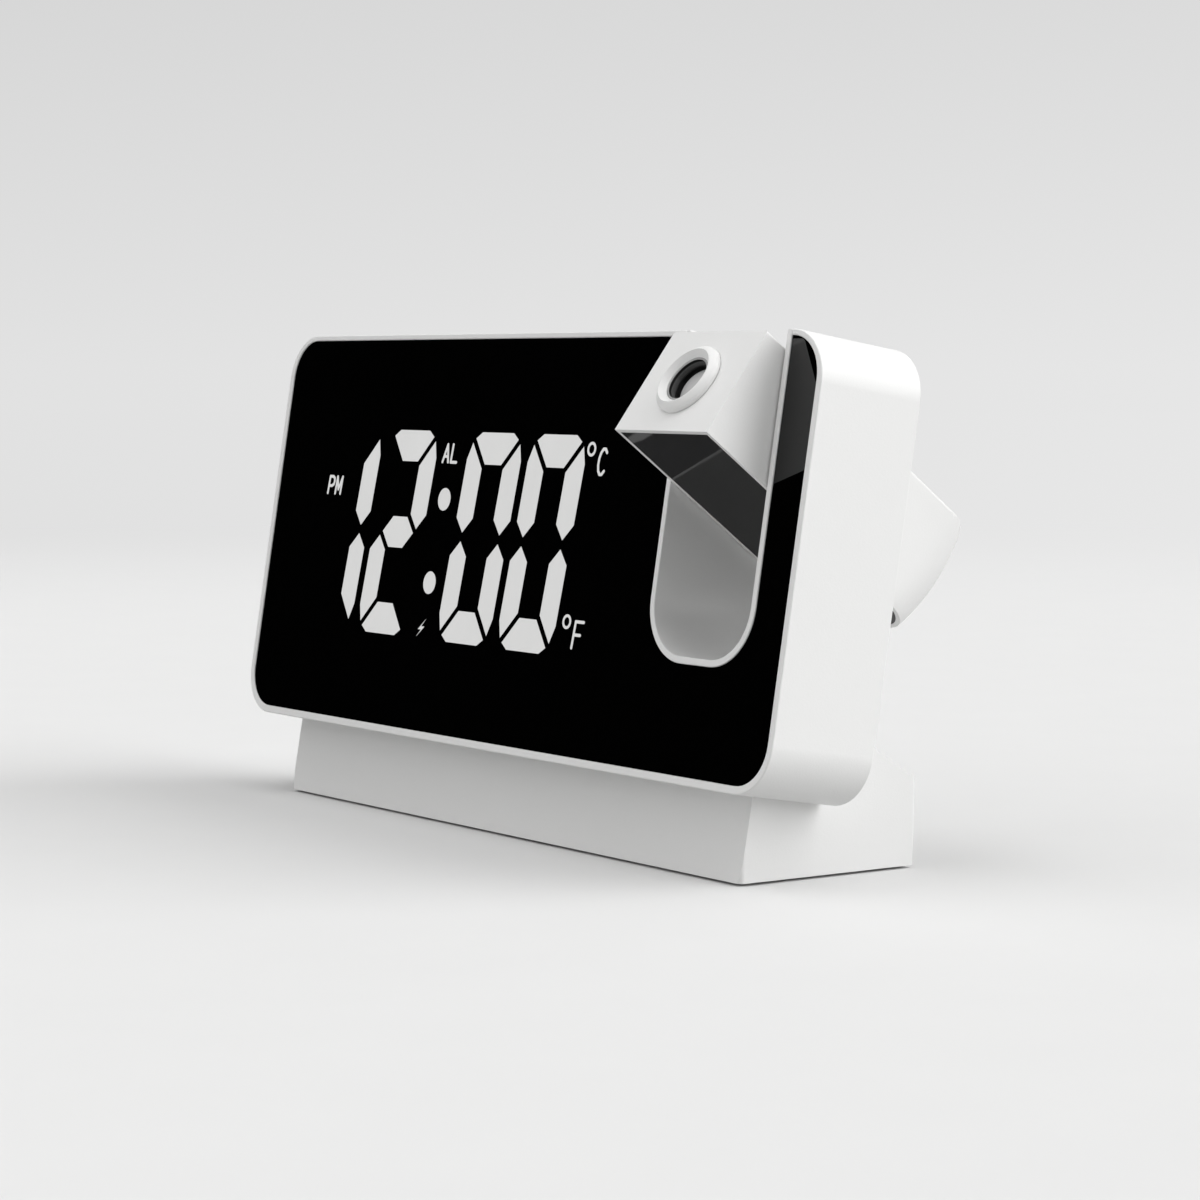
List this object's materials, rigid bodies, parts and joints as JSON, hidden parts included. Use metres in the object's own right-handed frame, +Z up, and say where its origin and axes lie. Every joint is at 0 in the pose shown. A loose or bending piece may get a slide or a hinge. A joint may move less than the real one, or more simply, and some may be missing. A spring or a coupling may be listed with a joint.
{
  "type": "projection alarm clock",
  "caption": "Slab alarm clock with a black mirror display leaning back in a wedge base, and a projector arm that swings through a round-bottomed channel.",
  "frame": {"origin": "middle of the base's footprint, on the plane that it rests on", "axes": "+X along the clock's width, to the viewer's right; -Y is the side that the face looks to; +Z up"},
  "size_m": [0.185, 0.0606, 0.098],
  "materials": {
    "white_shell": "fine satin moulded",
    "button_white": "satin moulded",
    "window_black": "polished",
    "mirror_dark": "polished",
    "lit_segment": "evenly lit",
    "reflector_white": "matte",
    "circuit_board": "solder mask",
    "led_chip": "resin",
    "steel": "zinc plated",
    "black_plastic": "moulded",
    "barrel_black": "dead matte",
    "contact_brass": "stamped",
    "soft_rubber": "matte",
    "trunnion_grey": "moulded acetal",
    "lens_glass": "polished",
    "lcd_film": "polished"
  },
  "bodies": {
    "clock": {"main_housing": "white_shell", "display_window": "window_black", "hour_segments": "lit_segment", "colon_dots": "lit_segment", "minute_segments": "lit_segment", "status_icons": "lit_segment", "segment_reflector": "reflector_white", "display_board": "circuit_board", "display_leds": "led_chip", "display_screws": "steel", "channel_liner": "white_shell", "rear_cover": "white_shell", "rear_screws": "steel", "main_board": "circuit_board", "main_board_screws": "steel", "control_chips": "black_plastic", "board_header": "black_plastic", "button_switches": "black_plastic", "snooze_switches": "black_plastic", "usb_output_shell": "steel", "usb_output_tongue": "black_plastic", "power_inlet_shell": "steel", "power_inlet_tongue": "black_plastic", "buzzer": "black_plastic", "cell_contacts": "contact_brass", "backup_cell": "steel", "temperature_sensor": "black_plastic", "base_shell": "white_shell", "base_cover": "white_shell", "body_screws": "steel", "base_cover_screws": "steel", "rubber_pad": "soft_rubber", "projector_cable": "black_plastic"},
    "projector_arm": {"arm_shell": "white_shell", "mirror_plate": "mirror_dark", "hinge_trunnions": "trunnion_grey", "hinge_washers": "soft_rubber", "hinge_clips": "steel", "light_tunnel": "black_plastic", "led_board": "circuit_board", "projector_led": "led_chip", "condenser_lens": "lens_glass", "projection_lcd": "lcd_film", "projector_board": "circuit_board", "projector_board_screws": "steel"},
    "focus_ring": {"focus_ring": "white_shell"},
    "lens_barrel": {"lens_barrel": "barrel_black", "projection_lens": "lens_glass"},
    "snooze_bar": {"snooze_bar": "white_shell"},
    "mode_button": {"mode_button": "button_white"},
    "alarm_button": {"alarm_button": "button_white"},
    "down_button": {"down_button": "button_white"},
    "up_button": {"up_button": "button_white"},
    "projector_button": {"projector_button": "button_white"},
    "cell_door": {"cell_door": "white_shell"}
  },
  "joints": [
    {"name": "arm_swing", "type": "hinge", "parent": "clock", "child": "projector_arm", "pos_m": [0.06695, -0.00045, 0.07624], "axis": [1, 0, 0], "range_deg": [-152.16, 27.84]},
    {"name": "focus_turn", "type": "hinge", "parent": "projector_arm", "child": "focus_ring", "pos_m": [0.06695, -0.00205, 0.07414], "axis": [0, -0.7967, 0.6043], "range_deg": [-60, 60]},
    {"name": "lens_travel", "type": "slide", "parent": "projector_arm", "child": "lens_barrel", "axis": [0, -0.7967, 0.6043], "range_m": [-0.001, 0.001]},
    {"name": "snooze_press", "type": "slide", "parent": "clock", "child": "snooze_bar", "axis": [0, -0.1623, -0.9867], "range_m": [0, 0.0006], "stiffness_N_per_m": 500, "springref_m": -0.0004},
    {"name": "mode_press", "type": "slide", "parent": "clock", "child": "mode_button", "axis": [0, -0.9867, 0.1623], "range_m": [0, 0.0005], "stiffness_N_per_m": 300, "springref_m": -0.0004},
    {"name": "alarm_press", "type": "slide", "parent": "clock", "child": "alarm_button", "axis": [0, -0.9867, 0.1623], "range_m": [0, 0.0005], "stiffness_N_per_m": 300, "springref_m": -0.0004},
    {"name": "down_press", "type": "slide", "parent": "clock", "child": "down_button", "axis": [0, -0.9867, 0.1623], "range_m": [0, 0.0005], "stiffness_N_per_m": 300, "springref_m": -0.0004},
    {"name": "up_press", "type": "slide", "parent": "clock", "child": "up_button", "axis": [0, -0.9867, 0.1623], "range_m": [0, 0.0005], "stiffness_N_per_m": 300, "springref_m": -0.0004},
    {"name": "projector_press", "type": "slide", "parent": "clock", "child": "projector_button", "axis": [0, -0.9867, 0.1623], "range_m": [0, 0.0005], "stiffness_N_per_m": 300, "springref_m": -0.0004},
    {"name": "cell_door_turn", "type": "hinge", "parent": "clock", "child": "cell_door", "pos_m": [-0.064, 0.00415, 0.05301], "axis": [0, 0.9867, -0.1623], "range_deg": [0, 45]}
  ],
  "couplings": [
    {"joint": "focus_turn", "follows": "lens_travel", "rad_per_m": 1047.2}
  ]
}
